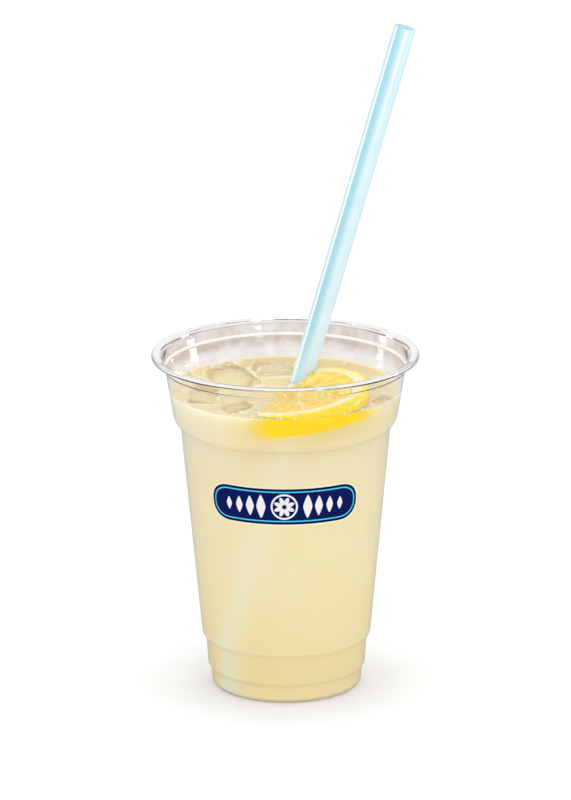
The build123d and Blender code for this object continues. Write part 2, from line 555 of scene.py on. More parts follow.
def uneven_group():
    """The shader group that every finish shares: one noise that varies colour, gloss and relief."""
    tree = bpy.data.node_groups.get("uneven finish")
    if tree:
        return tree
    tree = bpy.data.node_groups.new("uneven finish", "ShaderNodeTree")
    for name, kind, default in (
        ("Place", "NodeSocketVector", None),
        ("Scale", "NodeSocketFloat", 100.0),
        ("Detail", "NodeSocketFloat", 3.0),
        ("Grain", "NodeSocketFloat", 0.5),
        ("Distortion", "NodeSocketFloat", 0.0),
        ("Span Start", "NodeSocketFloat", 0.3),
        ("Span End", "NodeSocketFloat", 0.7),
        ("First Colour", "NodeSocketColor", None),
        ("Second Colour", "NodeSocketColor", None),
        ("Colour Share", "NodeSocketFloat", 1.0),
        ("Least Roughness", "NodeSocketFloat", 0.2),
        ("Most Roughness", "NodeSocketFloat", 0.4),
        ("Relief", "NodeSocketFloat", 0.0),
        ("Relief Strength", "NodeSocketFloat", 0.5),
    ):
        socket = tree.interface.new_socket(name, in_out="INPUT", socket_type=kind)
        if default is not None:
            socket.default_value = default
    for name, kind in (
        ("Amount", "NodeSocketFloat"),
        ("Colour", "NodeSocketColor"),
        ("Roughness", "NodeSocketFloat"),
        ("Normal", "NodeSocketVector"),
    ):
        tree.interface.new_socket(name, in_out="OUTPUT", socket_type=kind)
    given = put(tree, "NodeGroupInput").outputs
    noise_feeds = {
        "Vector": given["Place"],
        "Scale": given["Scale"],
        "Detail": given["Detail"],
        "Roughness": given["Grain"],
        "Distortion": given["Distortion"],
    }
    pattern = put(tree, "ShaderNodeTexNoise", noise_feeds).outputs["Fac"]
    amount = ramp(tree, pattern, given["Span Start"], given["Span End"], 0.0, 1.0)
    share = product(tree, amount, given["Colour Share"])
    put(
        tree,
        "NodeGroupOutput",
        {
            "Amount": amount,
            "Colour": mixed(tree, share, given["First Colour"], given["Second Colour"]),
            "Roughness": ramp(tree, amount, 0.0, 1.0, given["Least Roughness"], given["Most Roughness"]),
            "Normal": bumped(tree, pattern, given["Relief"], given["Relief Strength"]),
        },
    )
    return tree


def uneven(tree, place, scale, **values):
    """The outputs of the shared uneven finish, with a material's own values, such as Relief=0.001."""
    node = put(tree, "ShaderNodeGroup", node_tree=uneven_group())
    feed(tree, node, {"Place": place, "Scale": scale})
    feed(tree, node, {name.replace("_", " "): value for name, value in values.items()})
    return node.outputs


def paler_bounce(tree, colour, share):
    """A colour that is paler in the light it throws on other things, so that it doesn't stain them."""
    bounced = put(tree, "ShaderNodeLightPath").outputs["Is Diffuse Ray"]
    return mixed(tree, product(tree, bounced, share), colour, linear(238, 234, 226))


def let_light_in(tree, shader, tint):
    """Lets lamps shine through a clear or thin material, instead of its casting a dark shadow."""
    path = put(tree, "ShaderNodeLightPath").outputs
    through = put(tree, "ShaderNodeBsdfTransparent", {"Color": tint})
    passes = maths(tree, "MAXIMUM", path["Is Shadow Ray"], path["Is Diffuse Ray"])
    # Light that has been caught inside for long is let out, as it would leave in the end.
    caught = maths(tree, "GREATER_THAN", path["Ray Depth"], CAUGHT_BOUNCES)
    passes = maths(tree, "MAXIMUM", passes, caught)
    mix = put(tree, "ShaderNodeMixShader", {0: passes, 1: shader.outputs[0], 2: through.outputs[0]})
    feed(tree, tree.nodes["Material Output"], {"Surface": mix.outputs[0]})


def painted_reflection_of_wall(tree, place):
    """Where the wall is seen from inside above the drink, which gets a painted reflection there: 0 to 1."""
    geometry = put(tree, "ShaderNodeNewGeometry").outputs
    normal = geometry["Normal"]
    height, facing = split(tree, place)["Z"], split(tree, normal)["Z"]
    outwards = put(tree, "ShaderNodeVectorMath", {0: normal, 1: place}, operation="DOT_PRODUCT")
    level_part = maths(tree, "SUBTRACT", outwards.outputs["Value"], product(tree, facing, height))
    inside = maths(tree, "LESS_THAN", level_part, 0.0)
    front = maths(tree, "SUBTRACT", 1.0, geometry["Backfacing"])
    steep = ramp(tree, maths(tree, "ABSOLUTE", facing), 0.45, 0.62, 1.0, 0.0)
    above_drink = ramp(tree, height, 0.115, 0.1203, 0.38, 1.0)
    below_ledge = ramp(tree, height, 0.1215, 0.1222, 1.0, 0.72)
    # The painted reflection is uneven, in patches.
    reflection_noise = uneven(tree, place, 130.0, Detail=4.0, Distortion=0.5)["Amount"]
    reflection_patches = ramp(tree, reflection_noise, 0.0, 1.0, 0.85, 1.25)
    return product(tree, above_drink, below_ledge, inside, front, steep, reflection_patches)


def clear_plastic(settings):
    """Thin clear drawn plastic, with faint draw marks, a few scuffs and a painted reflection inside above
    the drink.
    """
    material, tree, shader = new_material("clear_plastic")
    place = object_place(tree)
    stretched = put(tree, "ShaderNodeMapping", {"Vector": place, "Scale": (1.0, 1.0, 0.18)}).outputs[0]
    draw_marks = uneven(tree, stretched, 260.0, Detail=2.0, Grain=0.4, Relief=0.03 * MM)
    scuffs = uneven(
        tree,
        place,
        900.0,
        Detail=2.0,
        Grain=0.6,
        Distortion=1.5,
        Span_Start=0.62,
        Span_End=0.75,
        Least_Roughness=0.02,
        Most_Roughness=0.1,
    )
    # Painted reflection: the wall seen from inside above the drink is tinted warm.
    painted_reflection = painted_reflection_of_wall(tree, place)
    feed(
        tree,
        shader,
        {
            "Base Color": mixed(tree, painted_reflection, (*settings.tint, 1.0), (*settings.reflection_tint, 1.0)),
            "Transmission Weight": 1.0,
            "IOR": 1.5,
            "Metallic": 0.0,
            "Roughness": scuffs["Roughness"],
            "Normal": draw_marks["Normal"],
        },
    )
    let_light_in(tree, shader, (0.97, 0.96, 0.95, 1.0))
    return material


def clear_ice():
    """Wet clear ice with soft dimples."""
    material, tree, shader = new_material("clear_ice")
    place = object_place(tree)
    gloss = uneven(tree, place, 60.0, Span_Start=0.35, Least_Roughness=0.01, Most_Roughness=0.07)
    dimples = uneven(tree, place, 140.0, Relief=0.5 * MM)
    feed(
        tree,
        shader,
        {
            "Base Color": (0.99, 0.985, 0.96, 1.0),
            "Transmission Weight": 1.0,
            "IOR": 1.31,
            "Metallic": 0.0,
            "Roughness": gloss["Roughness"],
            "Normal": dimples["Normal"],
        },
    )
    let_light_in(tree, shader, (0.98, 0.975, 0.95, 1.0))
    return material


def bubble_film():
    """The thin film of a bubble."""
    material, tree, shader = new_material("bubble_film")
    film = uneven(
        tree, object_place(tree), 1200.0, Least_Roughness=0.0, Most_Roughness=0.04, Relief=0.02 * MM
    )
    feed(
        tree,
        shader,
        {
            "Base Color": (1.0, 0.995, 0.97, 1.0),
            "Transmission Weight": 0.4,
            "IOR": 1.2,
            "Metallic": 0.0,
            "Roughness": film["Roughness"],
            "Normal": film["Normal"],
        },
    )
    let_light_in(tree, shader, WHITE)
    return material


def cloudy_lemonade(settings):
    """Cloudy lemonade: uneven body, darker at its surface as painted shade, paler on its lowest band as
    painted light, with the lemon and the straw glowing through.
    """
    material, tree, shader = new_material("cloudy_lemonade")
    place = object_place(tree)
    clouds = uneven(
        tree,
        place,
        38.0,
        Detail=4.0,
        Grain=0.55,
        Distortion=0.6,
        Span_Start=0.35,
        First_Colour=(*settings.body, 1.0),
        Second_Colour=linear(243, 233, 205),
        Colour_Share=0.35,
        Least_Roughness=0.04,
        Most_Roughness=0.1,
    )
    depthwise, height = (split(tree, place)[axis] for axis in "YZ")
    # Painted light: the lowest band is paler, to lift the shade that falls on it near the floor. No light
    # spreads inside there.
    painted_light_at_floor = ramp(tree, height, 0.003, 0.009, 0.9, 0.0)
    colour = mixed(tree, ramp(tree, height, 0.0, 0.06, 0.8, 0.0), clouds["Colour"], (*settings.deep, 1.0))
    colour = mixed(tree, painted_light_at_floor, colour, linear(250, 230, 178))
    colour = mixed(tree, ramp(tree, height, 0.07, 0.108, 0.0, 0.85), colour, linear(238, 231, 206))
    rind = mixed(tree, clouds["Amount"], linear(255, 213, 0), linear(255, 223, 0))
    # The surface is painted darker than the body, a painted shade, and darker still towards the back, where
    # the far wall shades it.
    towards_back = ramp(tree, depthwise, 0.0, 0.04, 0.0, 1.0)
    top = mixed(tree, towards_back, (*settings.surface, 1.0), linear(206, 186, 136))
    # Marks on the skin: the surface's painted shade, painted shade beside the ice, and the sunk straw and
    # lemon showing through.
    shows = {}
    for name, shade in (
        ("lemon_glow", linear(236, 215, 146)),
        ("surface", top),
        ("ice_near", linear(214, 196, 148)),
        ("straw_near", linear(232, 240, 220)),
        ("lemon_near", rind),
    ):
        shows[name] = put(tree, "ShaderNodeAttribute", attribute_name=name).outputs["Fac"]
        colour = mixed(tree, shows[name], colour, shade)
    solid = maths(tree, "MAXIMUM", shows["lemon_near"], painted_light_at_floor)
    cloudy = maths(tree, "SUBTRACT", 1.0, solid)
    ripples = uneven(tree, place, 90.0, Detail=2.0, Distortion=0.8, Relief=0.3 * MM)
    feed(
        tree,
        shader,
        {
            "Base Color": paler_bounce(tree, colour, 0.75),
            "Roughness": clouds["Roughness"],
            "IOR": 1.34,
            "Specular IOR Level": 0.2,
            "Subsurface Weight": product(tree, cloudy, settings.softness),
            "Subsurface Radius": (1.0, 0.97, 0.9),
            "Subsurface Scale": settings.soft_depth,
            "Normal": ripples["Normal"],
        },
    )
    return material


def straw_plastic(settings):
    """Pale blue straw plastic, with painted shade down one side, a painted highlight beside it, and
    lengthwise draw lines.
    """
    material, tree, shader = new_material("straw_plastic")
    straw_foot = straw_axis(STRAW_END_HEIGHT) * MM
    upright = put(
        tree,
        "ShaderNodeMapping",
        {"Vector": object_place(tree), "Location": straw_foot, "Rotation": (0.0, STRAW_LEAN, 0.0)},
        vector_type="TEXTURE",
    ).outputs[0]
    drawn = put(tree, "ShaderNodeMapping", {"Vector": upright, "Scale": (1.0, 1.0, 0.01)}).outputs[0]
    lines = uneven(
        tree, drawn, 1400.0, Detail=2.0, Least_Roughness=0.22, Most_Roughness=0.3, Relief=0.015 * MM
    )
    mottle = uneven(
        tree,
        upright,
        180.0,
        First_Colour=(*settings.colour, 1.0),
        Second_Colour=linear(206, 236, 247),
        Colour_Share=0.5,
    )
    x, y, z = split(tree, upright)
    angle = maths(tree, "ARCTAN2", y, x)
    # The turn from the middle of the painted shade. The shade fades long before the count jumps.
    off_shaded_side = maths(tree, "SUBTRACT", angle, STRAW_SHADED_SIDE)
    painted_shade = ramp(tree, maths(tree, "ABSOLUTE", off_shaded_side), 0.12, 0.85, 1.0, 0.0)
    # The painted shade is weaker low down, where light from the drink evens it out.
    painted_shade = product(tree, painted_shade, ramp(tree, z, 0.107, 0.132, 0.4, 1.0))
    # A narrow painted highlight beside it, a pale line along the straw's length.
    off_highlight = maths(tree, "SUBTRACT", angle, STRAW_HIGHLIGHT_LINE)
    line = ramp(tree, maths(tree, "ABSOLUTE", off_highlight), 0.05, 0.14, 1.0, 0.0)
    # Painted light: paler and bluer low down near the drink, against the yellow light the drink throws on
    # it.
    colour = mixed(tree, ramp(tree, z, 0.107, 0.17, 0.6, 0.0), mottle["Colour"], linear(222, 242, 255))
    # Painted shade down one side of the straw.
    colour = mixed(tree, painted_shade, colour, (*settings.shade_colour, 1.0))
    feed(
        tree,
        shader,
        {
            # The painted highlight line is near white.
            "Base Color": mixed(tree, line, colour, linear(252, 254, 255)),
            "Roughness": lines["Roughness"],
            "IOR": 1.5,
            "Subsurface Weight": 0.12,
            "Subsurface Radius": (0.7, 0.9, 1.0),
            "Subsurface Scale": 1.0 * MM,
            "Normal": lines["Normal"],
        },
    )
    return material


def ink(name, colour):
    """Printing ink with a slightly uneven face."""
    material, tree, shader = new_material(name)
    coat = uneven(
        tree,
        object_place(tree),
        1200.0,
        Grain=0.6,
        First_Colour=colour,
        Second_Colour=tuple(channel * 0.93 for channel in colour[:3]) + (1.0,),
        Least_Roughness=0.3,
        Most_Roughness=0.4,
        Relief=0.01 * MM,
    )
    feed(
        tree,
        shader,
        {
            "Base Color": coat["Colour"],
            "Roughness": coat["Roughness"],
            "Specular IOR Level": 0.06,
            "Normal": coat["Normal"],
        },
    )
    # The drink behind the ink keeps its light, so that no dim halo shows round the print.
    let_light_in(tree, shader, WHITE)
    return material


def lemon_place(tree):
    """A place on the level lemon wheel, a little wobbly, so that its lines aren't ruled."""
    place = put(
        tree,
        "ShaderNodeMapping",
        {"Vector": object_place(tree), "Location": LEMON_CENTRE * MM, "Rotation": LEMON_TURN},
        vector_type="TEXTURE",
    ).outputs[0]
    wobble = put(tree, "ShaderNodeTexNoise", {"Vector": place, "Scale": 160.0}).outputs["Color"]
    centred = put(tree, "ShaderNodeVectorMath", {0: wobble, 1: (0.5, 0.5, 0.5)}, operation="SUBTRACT")
    feeds = {0: centred.outputs[0], 1: (0.0016, 0.0016, 0.0016), 2: place}
    return place, put(tree, "ShaderNodeVectorMath", feeds, operation="MULTIPLY_ADD").outputs[0]


def lemon_fruit(settings):
    """Lemon: glossy pored peel, cream pith, membranes and juice cells that radiate from the middle."""
    material, tree, shader = new_material("lemon_fruit")
    place, wobbly = lemon_place(tree)
    x, y, z = split(tree, wobbly)
    radius = maths(tree, "SQRT", maths(tree, "ADD", product(tree, x, x), product(tree, y, y)))
    angle = maths(tree, "ARCTAN2", y, x)
    # Segments differ in width, as segment_mask has them.
    swing = maths(tree, "SINE", maths(tree, "MULTIPLY_ADD", angle, SWINGS, SWING_START))
    warped = maths(tree, "MULTIPLY_ADD", swing, SEGMENT_SWING, angle)
    turns = product(tree, maths(tree, "SUBTRACT", warped, CUT_FACING), SEGMENTS / FULL_TURN)
    fraction = maths(tree, "FRACT", maths(tree, "ADD", turns, SEGMENT_START))
    off_middle = maths(tree, "ABSOLUTE", maths(tree, "SUBTRACT", fraction, 0.5))
    to_membrane = product(tree, maths(tree, "SUBTRACT", 0.5, off_middle), FULL_TURN / SEGMENTS)
    gap = product(tree, to_membrane, radius)
    flesh_end = settings.flesh_radius
    flesh = product(
        tree,
        ramp(tree, gap, 0.1 * MM, 0.5 * MM, 0.35, 1.0),
        ramp(tree, radius, flesh_end - 0.5 * MM, flesh_end + 0.3 * MM, 1.0, 0.0),
        ramp(tree, radius, 1.6 * MM, 3.0 * MM, 0.0, 1.0),
    )
    peel_start = settings.radius - settings.peel_depth
    in_peel = ramp(tree, radius, peel_start, settings.radius - 0.35 * settings.peel_depth, 0.0, 1.0)

    # Juice cells are long and narrow, and point at the middle.
    cell_place = put(
        tree,
        "ShaderNodeCombineXYZ",
        {
            "X": product(tree, warped, 14.0),
            "Y": product(tree, radius, 90.0),
            "Z": product(tree, z, 300.0),
        },
    ).outputs[0]
    cells = put(
        tree, "ShaderNodeTexVoronoi", {"Vector": cell_place, "Scale": 1.0}, feature="DISTANCE_TO_EDGE"
    ).outputs["Distance"]
    skins = ramp(tree, cells, 0.0, 0.16, 0.4, 0.0)
    shades = {"Span_Start": 0.25, "Span_End": 0.75}
    juice = uneven(
        tree, place, 300.0, First_Colour=linear(244, 196, 50), Second_Colour=linear(249, 220, 104), **shades
    )
    pith = uneven(
        tree, place, 500.0, First_Colour=linear(248, 232, 196), Second_Colour=linear(243, 221, 166), **shades
    )
    peel = uneven(
        tree, place, 220.0, First_Colour=linear(255, 216, 0), Second_Colour=linear(255, 232, 4), **shades
    )
    juicy = mixed(tree, skins, juice["Colour"], linear(251, 230, 156))
    colour = mixed(tree, flesh, pith["Colour"], juicy)
    colour = mixed(tree, in_peel, colour, peel["Colour"])

    pores = put(tree, "ShaderNodeTexVoronoi", {"Vector": place, "Scale": 900.0}, feature="SMOOTH_F1")
    pits = product(tree, ramp(tree, pores.outputs["Distance"], 0.15, 0.5, 0.0, 0.5), in_peel)
    bulges = product(tree, ramp(tree, cells, 0.0, 0.3, 0.0, 1.0), flesh)
    relief = maths(tree, "ADD", pits, bulges)
    relief = maths(tree, "MULTIPLY_ADD", juice["Amount"], 0.2, relief)
    feed(
        tree,
        shader,
        {
            "Base Color": paler_bounce(tree, colour, 0.7),
            "Roughness": ramp(tree, maths(tree, "ADD", flesh, in_peel), 0.0, 1.0, 0.45, 0.2),
            "IOR": 1.38,
            "Specular IOR Level": 0.3,
            "Subsurface Weight": 0.2,
            "Subsurface Radius": (1.0, 0.8, 0.3),
            "Subsurface Scale": 2.0 * MM,
            # Painted glow: the fruit gives off its own colour, for light that comes through it.
            "Emission Color": colour,
            "Emission Strength": settings.inner_glow,
            "Normal": bumped(tree, relief, 0.35 * MM, 0.8),
        },
    )
    return material


def pale_floor():
    """Floor paint: white to the camera, and still dimmed by the cup's shadow."""
    material, tree, shader = new_material("pale_floor")
    path = put(tree, "ShaderNodeLightPath").outputs
    paint = uneven(
        tree,
        object_place(tree),
        30.0,
        Detail=4.0,
        First_Colour=(0.85, 0.85, 0.855, 1.0),
        Second_Colour=(0.87, 0.87, 0.875, 1.0),
    )
    # Gloss sees a darker floor, so that it doesn't grey the colours that face it.
    clear = maths(tree, "SUBTRACT", 1.0, path["Is Transmission Ray"])
    gloss = product(tree, path["Is Glossy Ray"], clear)
    seen = maths(tree, "MAXIMUM", path["Is Camera Ray"], path["Is Transmission Ray"])
    feed(
        tree,
        shader,
        {
            "Base Color": mixed(tree, gloss, paint["Colour"], (0.38, 0.38, 0.38, 1.0)),
            "Roughness": 0.9,
            "Specular IOR Level": 0.0,
            "Emission Color": WHITE,
            "Emission Strength": product(tree, seen, 0.05),
        },
    )
    return material


# ---- settings --------------------------------------------------------------------------------------------


def length_setting(name, description, default, **limits):
    """A setting that holds a length, in metres."""
    return FloatProperty(name=name, description=description, default=default, unit="LENGTH", **limits)


def angle_setting(name, description, degrees):
    """A setting that holds an angle."""
    return FloatProperty(name=name, description=description, default=math.radians(degrees), subtype="ANGLE")


def colour_setting(name, description, default):
    """A setting that holds a colour, as shaders take it."""
    return FloatVectorProperty(
        name=name, description=description, default=default[:3], subtype="COLOR", size=3
    )


class CupSettings(bpy.types.PropertyGroup):
    """The clear cup."""

    wall: length_setting("Wall", "Thickness of the wall", WALL * MM, min=0.2 * MM)
    tint: colour_setting("Tint", "What the clear plastic does to light passing through", (0.95, 0.94, 0.925))
    # A painted reflection: the tint where the wall is seen from inside, above the drink.
    reflection_tint: colour_setting(
        "Warm Tint", "The same where the wall is seen from inside, above the drink", (0.38, 0.27, 0.20)
    )
    turn_steps: IntProperty(name="Turn Steps", description="Faces round the cup", default=240, min=24)


class PrintSettings(bpy.types.PropertyGroup):
    """The printed band on the front."""

    half_width: length_setting("Half Width", "Half of the band's width", 0.0288)
    half_height: length_setting("Half Height", "Half of the band's height", 0.0069)
    edge: length_setting("Edge", "Width of the dark edge outside the line", 0.0010)
    line_width: length_setting("Line Width", "Width of the coloured line and of the pale edge", 0.00045)
    across: length_setting("Across", "How far the band's middle is off the front", -0.0006)
    height: length_setting("Height", "How high the band's middle is", 0.0785)
    field: colour_setting("Field", "Colour of the band", linear(0, 20, 88))
    line: colour_setting("Line", "Colour of the line inside the band's edge", linear(80, 212, 238))


class DrinkSettings(bpy.types.PropertyGroup):
    """The lemonade."""

    body: colour_setting("Body", "Colour of the lemonade", linear(242, 230, 187))
    deep: colour_setting("Deep", "Colour near the floor", linear(240, 223, 166))
    # Painted shade: the surface is given a darker colour than the body.
    surface: colour_setting("Surface", "Colour seen from above", linear(228, 211, 163))
    softness: FloatProperty(
        name="Softness", description="Share of the light that spreads inside", default=1.0, subtype="FACTOR"
    )
    soft_depth: length_setting("Soft Depth", "How far light spreads inside", 0.010)
    clearness: length_setting("Clearness", "Distance at which the lemon's glow has faded to a third", 0.008)
    rings: IntProperty(name="Rings", description="Rings of faces across the surface", default=100, min=20)
    turn_steps: IntProperty(name="Turn Steps", description="Faces round the drink", default=256, min=24)


class LemonSettings(bpy.types.PropertyGroup):
    """The lemon wheel."""

    radius: length_setting("Radius", "Radius of the wheel", LEMON_RADIUS * MM)
    flesh_radius: length_setting("Flesh Radius", "How far out the segments reach", 0.0219)
    peel_depth: length_setting("Peel Depth", "Thickness of the yellow peel", 0.0016)
    # Painted glow: emission that stands in for light coming through the fruit.
    inner_glow: FloatProperty(
        name="Inner Glow", description="Light that comes through the fruit from all round", default=0.05
    )


class StrawSettings(bpy.types.PropertyGroup):
    """The straw."""

    radius: length_setting("Radius", "Outer radius", 0.004)
    wall: length_setting("Wall", "Thickness of the wall", 0.0004)
    colour: colour_setting("Colour", "Colour of the straw", linear(218, 242, 250))
    # Painted shade: the colour down the straw's shaded side, where its wall is no thicker than elsewhere.
    shade_colour: colour_setting(
        "Deep Colour", "Colour along the thicker side of its wall", linear(166, 216, 230)
    )


class StageSettings(bpy.types.PropertyGroup):
    """Camera, lamps and floor."""

    distance: length_setting("Distance", "From camera to cup", 2.5)
    look_down: angle_setting("Look Down", "How far the camera looks down", 16.34)
    roll: angle_setting("Roll", "Camera's roll", -0.24)
    lens: FloatProperty(name="Lens", description="Focal length in millimetres", default=307.24)
    aim_height: length_setting("Aim Height", "Height that the camera looks at", 0.10818)
    ambient: FloatProperty(name="Ambient", description="Light from all round", default=1.0)


# ---- pieces ----------------------------------------------------------------------------------------------


def cup_line(wall):
    """The closed outline of the cup's wall and lip, from the middle of the floor and back to it."""
    inner = shifted(WALL_LINE, wall)
    neck_radius = WALL_LINE[-1][0][0]
    under_lip = CUP_HEIGHT - LIP_THICKNESS
    lip = [
        ((neck_radius + 0.1, under_lip), 0.5),
        ((RIM_RADIUS, under_lip), LIP_ROUND),
        ((RIM_RADIUS, CUP_HEIGHT), LIP_ROUND),
        ((neck_radius + 0.75, CUP_HEIGHT), LIP_ROUND),
    ]
    return list(WALL_LINE[:-1]) + lip + inner[-1:0:-1] + [(inner[0][0], 0.0)]


class OBJECT_OT_lemonade_cup(bpy.types.Operator):
    """Turns the clear cup from its section"""

    bl_idname = "object.lemonade_cup"
    bl_label = "Cup"

    def execute(self, context):
        settings = context.scene.lemonade_cup
        material = clear_plastic(settings)
        cup = turned(cup_line(settings.wall / MM), "cup_clear", material, settings.turn_steps)
        fitted(painted(cup, material), "cup", "cup")
        return {"FINISHED"}


class OBJECT_OT_lemonade_straw(bpy.types.Operator):
    """Draws the hollow straw and stands it in the drink"""

    bl_idname = "object.lemonade_straw"
    bl_label = "Straw"

    def execute(self, context):
        settings = context.scene.lemonade_straw
        material = straw_plastic(settings)
        outer, inner = settings.radius / MM, (settings.radius - settings.wall) / MM
        edge = 0.4 * settings.wall / MM
        line = [
            ((outer, STRAW_LENGTH / 2), 0.0),
            ((outer, STRAW_LENGTH), edge),
            ((inner, STRAW_LENGTH), edge),
            ((inner, 0.0), edge),
            ((outer, 0.0), edge),
            ((outer, STRAW_LENGTH / 2), 0.0),
        ]
        straw = turned(line, "straw_tube", material, turn_steps=96, bend_steps=4)
        foot = Matrix.Translation(straw_axis(STRAW_END_HEIGHT) * MM)
        straw.data.transform(foot @ Matrix.Rotation(STRAW_LEAN, 4, "Y"))
        fitted(painted(straw, material), "straw", "straw")
        return {"FINISHED"}


def segment_mask(x, y, flesh_radius):
    """How far a place on the lemon is inside a segment, from 0 on a membrane to 1."""
    radius = math.hypot(x, y)
    angle = math.atan2(y, x)
    warped = angle + SEGMENT_SWING * math.sin(SWINGS * angle + SWING_START)
    fraction = ((warped - CUT_FACING) * SEGMENTS / FULL_TURN + SEGMENT_START) % 1.0
    gap = (0.5 - abs(fraction - 0.5)) * FULL_TURN / SEGMENTS * radius
    mask = 1.0
    for past_edge, width in ((gap - 0.2, 0.7), (flesh_radius + 0.2 - radius, 0.9), (radius - 1.6, 1.5)):
        mask *= eased(past_edge, 0.0, width)
    return mask


class OBJECT_OT_lemonade_lemon(bpy.types.Operator):
    """Makes the cut lemon wheel with sunk segments and bulging juice cells"""

    bl_idname = "object.lemonade_lemon"
    bl_label = "Lemon Wheel"

    def execute(self, context):
        settings = context.scene.lemonade_lemon
        material = lemon_fruit(settings)
        radius, flesh_radius = settings.radius / MM, settings.flesh_radius / MM
        top_rings, under_rings = 62, 16
        top = [((radius * i / top_rings, 0.0), 0.0) for i in range(top_rings)]
        peel = [
            ((radius, 0.0), 0.7),
            ((radius + 0.4, -LEMON_THICKNESS / 2), 8.0),
            ((radius - 1.1, -LEMON_THICKNESS), 0.7),
        ]
        under = [((radius * i / under_rings, -LEMON_THICKNESS), 0.0) for i in reversed(range(under_rings))]
        wheel = turned(top + peel + under, "lemon_wheel", material, turn_steps=260)
        for vertex in wheel.data.vertices:
            x, y, z = vertex.co / MM
            mask = segment_mask(x, y, flesh_radius)
            cells = noise.noise(Vector((x * 0.9, y * 0.9, z)))
            rough = noise.noise(Vector((x * 0.25, y * 0.25, 3.0)))
            lift = mask * (CELL_BULGE * cells - FLESH_SUNK) + WHEEL_RELIEF * rough
            if z < -LEMON_THICKNESS / 2:
                lift = -lift
            bulge = 1 + 0.006 * noise.noise(Vector((x * 0.12, y * 0.12, 7.0)))
            vertex.co = Vector((x * bulge, y * bulge, z + lift)) * MM
        shape = bmesh.new()
        shape.from_mesh(wheel.data)
        facing = Vector((math.cos(CUT_FACING), math.sin(CUT_FACING), 0.0))
        cut = bmesh.ops.bisect_plane(
            shape,
            geom=shape.verts[:] + shape.edges[:] + shape.faces[:],
            plane_co=-facing * CUT_BEYOND_CENTRE * MM,
            plane_no=facing,
            clear_inner=True,
        )
        open_edges = [item for item in cut["geom_cut"] if isinstance(item, bmesh.types.BMEdge)]
        bmesh.ops.holes_fill(shape, edges=open_edges)
        bmesh.ops.recalc_face_normals(shape, faces=shape.faces)
        shape.to_mesh(wheel.data)
        shape.free()
        wheel.data.transform(Matrix.Translation(LEMON_CENTRE * MM) @ LEMON_TURN.to_matrix().to_4x4())
        fitted(painted(wheel, material), "lemon", "lemon_slice")
        return {"FINISHED"}


def ice_cube(name, top, size, turn, tilt_x, tilt_y, seed):
    """One worn, slightly lopsided ice cube, its top's middle at a place."""
    mesh = bpy.data.meshes.new(name)
    shape = bmesh.new()
    bmesh.ops.create_cube(shape, size=1.0)
    chooser = random.Random(seed)
    for vertex in shape.verts:
        vertex.co.z -= 0.5
        vertex.co = Vector(c * s * MM * chooser.uniform(*ICE_LOPSIDED) for c, s in zip(vertex.co, size))
    shape.to_mesh(mesh)
    shape.free()
    block = shown(mesh, name)
    bevel = block.modifiers.new("edges", "BEVEL")
    bevel.width = 0.16 * min(size) * MM
    bevel.segments = 3
    smooth = block.modifiers.new("worn", "SUBSURF")
    smooth.levels = smooth.render_levels = 3
    block = plain_mesh(block, name)
    elsewhere = Vector((seed * 3.7, 0.0, 0.0))
    pushed(block.data, lambda place: noise.noise(place / MM * 0.16 + elsewhere) * ICE_WEAR * MM)
    tilt = Euler([math.radians(a) for a in (tilt_x, tilt_y, turn)]).to_matrix().to_4x4()
    block.data.transform(Matrix.Translation(Vector(top) * MM) @ tilt)
    return block


class OBJECT_OT_lemonade_ice(bpy.types.Operator):
    """Makes the ice cubes that float at the drink's surface"""

    bl_idname = "object.lemonade_ice"
    bl_label = "Ice"

    def execute(self, context):
        material = clear_ice()
        blocks = [ice_cube(f"ice_block_{i}", *cube, seed=i + 1) for i, cube in enumerate(ICE_CUBES)]
        joined = bmesh.new()
        for block in blocks:
            joined.from_mesh(block.data)
            bpy.data.objects.remove(block)
        mesh = bpy.data.meshes.new("ice_cubes")
        joined.to_mesh(mesh)
        joined.free()
        fitted(painted(shown(mesh, "ice_cubes"), material), "drink")
        return {"FINISHED"}


def skin_of(name):
    """A search tree over the faces of a finished piece."""
    mesh = bpy.data.objects[name].data
    return BVHTree.FromPolygons([v.co for v in mesh.vertices], [p.vertices for p in mesh.polygons])


def distance_to(skin, place, reach):
    """How far a place is from a piece's skin, in metres. Beyond the reach it counts as infinitely far."""
    distance = skin.find_nearest(place, reach)[3]
    return math.inf if distance is None else distance


def store(mesh, name, values):
    """Stores one number for each point of a mesh."""
    mesh.attributes.new(name, "FLOAT", "POINT").data.foreach_set("value", values)


# Runs of the drink's outline at least this long are divided, finely where their lower end is this high.
SHORTEST_DIVIDED = 8
NEAR_SURFACE = 97


